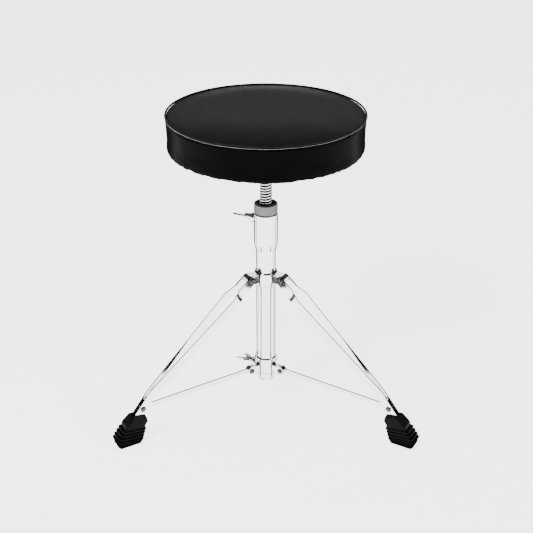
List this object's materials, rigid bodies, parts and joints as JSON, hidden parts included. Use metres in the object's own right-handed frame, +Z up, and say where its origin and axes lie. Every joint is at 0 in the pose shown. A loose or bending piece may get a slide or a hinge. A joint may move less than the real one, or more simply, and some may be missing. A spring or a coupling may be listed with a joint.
{
  "type": "drum throne",
  "caption": "Round padded drummer's seat on a threaded height spindle, over a chromed folding tripod base with braced double-strip legs and ribbed rubber boots.",
  "frame": {"origin": "point on the floor straight under the column's axis", "axes": "+Z up along the column, -Y the front that faces the viewer, +X to the viewer's right; the rear leg points along +Y"},
  "size_m": [0.5444, 0.4746, 0.576],
  "materials": {
    "chrome": "bright mirror plate on the column, legs, struts and hubs",
    "zinc_cast": "matt grey cast metal of the lock ring",
    "nut_nylon": "black nylon of the spindle nut",
    "spindle_steel": "rolled thread, zinc plated",
    "bracket_paint": "satin black paint on the seat bracket",
    "screw_steel": "zinc plated screws and staples",
    "board_wood": "bare plywood",
    "foam": "open-cell foam",
    "vinyl_top": "fine-grained black vinyl, semi-matt",
    "vinyl_band": "smooth glossy black vinyl",
    "welt": "black vinyl piping with grey stitches",
    "dust_cloth": "black non-woven cloth",
    "boot_rubber": "moulded black rubber"
  },
  "bodies": {
    "base": {"main_tube": "chrome", "tube_cap": "chrome", "height_housing": "chrome", "clamp_boss": "chrome", "nut_insert": "nut_nylon", "leg_hub": "chrome", "leg_pivot_rivets": "chrome"},
    "lock_ring": {"lock_ring": "zinc_cast"},
    "upper_wing_bolt": {"upper_wing_bolt": "chrome"},
    "lift": {"spindle_stop_collar": "screw_steel"},
    "seat": {"spindle": "spindle_steel", "seat_bracket": "bracket_paint", "socket_clamp_screw": "screw_steel", "bracket_screws": "screw_steel", "seat_board": "board_wood", "seat_foam": "foam", "seat_band": "vinyl_band", "seat_top_panel": "vinyl_top", "seat_welt": "welt", "seat_dust_cover": "dust_cloth", "seat_staples": "screw_steel"},
    "strut_hub": {"strut_hub": "chrome", "strut_pivot_rivets": "chrome"},
    "lower_wing_bolt": {"lower_wing_bolt": "chrome"},
    "left_leg": {"left_leg_strip_1": "chrome", "left_leg_strip_2": "chrome", "left_leg_rivet_studs": "chrome", "left_boot": "boot_rubber"},
    "left_strut": {"left_strut": "chrome"},
    "right_leg": {"right_leg_strip_1": "chrome", "right_leg_strip_2": "chrome", "right_leg_rivet_studs": "chrome", "right_boot": "boot_rubber"},
    "right_strut": {"right_strut": "chrome"},
    "rear_leg": {"rear_leg_strip_1": "chrome", "rear_leg_strip_2": "chrome", "rear_leg_rivet_studs": "chrome", "rear_boot": "boot_rubber"},
    "rear_strut": {"rear_strut": "chrome"}
  },
  "joints": [
    {"name": "seat_turn", "type": "hinge", "parent": "lift", "child": "seat", "pos_m": [0, 0, 0.505], "axis": [0, 0, 1], "range_deg": [-3600, 5040]},
    {"name": "height_screw", "type": "slide", "parent": "base", "child": "lift", "axis": [0, 0, 1], "range_m": [-0.0501, 0.0701]},
    {"name": "lock_ring_turn", "type": "hinge", "parent": "base", "child": "lock_ring", "pos_m": [0, 0, 0.395], "axis": [0, 0, 1], "range_deg": [0, 360]},
    {"name": "upper_wing_turn", "type": "hinge", "parent": "base", "child": "upper_wing_bolt", "pos_m": [-0.02598, 0.015, 0.372], "axis": [-0.866, 0.5, 0], "range_deg": [0, 360]},
    {"name": "lower_wing_turn", "type": "hinge", "parent": "strut_hub", "child": "lower_wing_bolt", "pos_m": [-0.02598, 0.015, 0.076], "axis": [-0.866, 0.5, 0], "range_deg": [0, 360]},
    {"name": "strut_hub_slide", "type": "slide", "parent": "base", "child": "strut_hub", "axis": [0, 0, 1], "range_m": [0, 0.11497]},
    {"name": "left_leg_fold", "type": "hinge", "parent": "base", "child": "left_leg", "pos_m": [-0.02944, -0.017, 0.2645], "axis": [0.5, -0.866, 0], "range_deg": [0, 42]},
    {"name": "left_strut_fold", "type": "hinge", "parent": "strut_hub", "child": "left_strut", "pos_m": [-0.02875, -0.0166, 0.073], "axis": [0.5, -0.866, 0], "range_deg": [0, 80.38]},
    {"name": "right_leg_fold", "type": "hinge", "parent": "base", "child": "right_leg", "pos_m": [0.02944, -0.017, 0.2645], "axis": [0.5, 0.866, 0], "range_deg": [0, 42.05]},
    {"name": "right_strut_fold", "type": "hinge", "parent": "strut_hub", "child": "right_strut", "pos_m": [0.02875, -0.0166, 0.073], "axis": [0.5, 0.866, 0], "range_deg": [0, 80.38]},
    {"name": "rear_leg_fold", "type": "hinge", "parent": "base", "child": "rear_leg", "pos_m": [0, 0.034, 0.2645], "axis": [-1, 0, 0], "range_deg": [0, 42.05]},
    {"name": "rear_strut_fold", "type": "hinge", "parent": "strut_hub", "child": "rear_strut", "pos_m": [0, 0.0332, 0.073], "axis": [-1, 0, 0], "range_deg": [0, 80.38]}
  ],
  "couplings": [
    {"joint": "height_screw", "follows": "seat_turn", "m_per_rad": 0.00079577},
    {"joint": "left_strut_fold", "follows": "left_leg_fold", "ratio": 1.909},
    {"joint": "right_leg_fold", "follows": "left_leg_fold", "ratio": 1},
    {"joint": "right_strut_fold", "follows": "left_leg_fold", "ratio": 1.909},
    {"joint": "rear_leg_fold", "follows": "left_leg_fold", "ratio": 1},
    {"joint": "rear_strut_fold", "follows": "left_leg_fold", "ratio": 1.909},
    {"joint": "strut_hub_slide", "follows": "left_leg_fold", "m_per_rad": 0.15657}
  ]
}
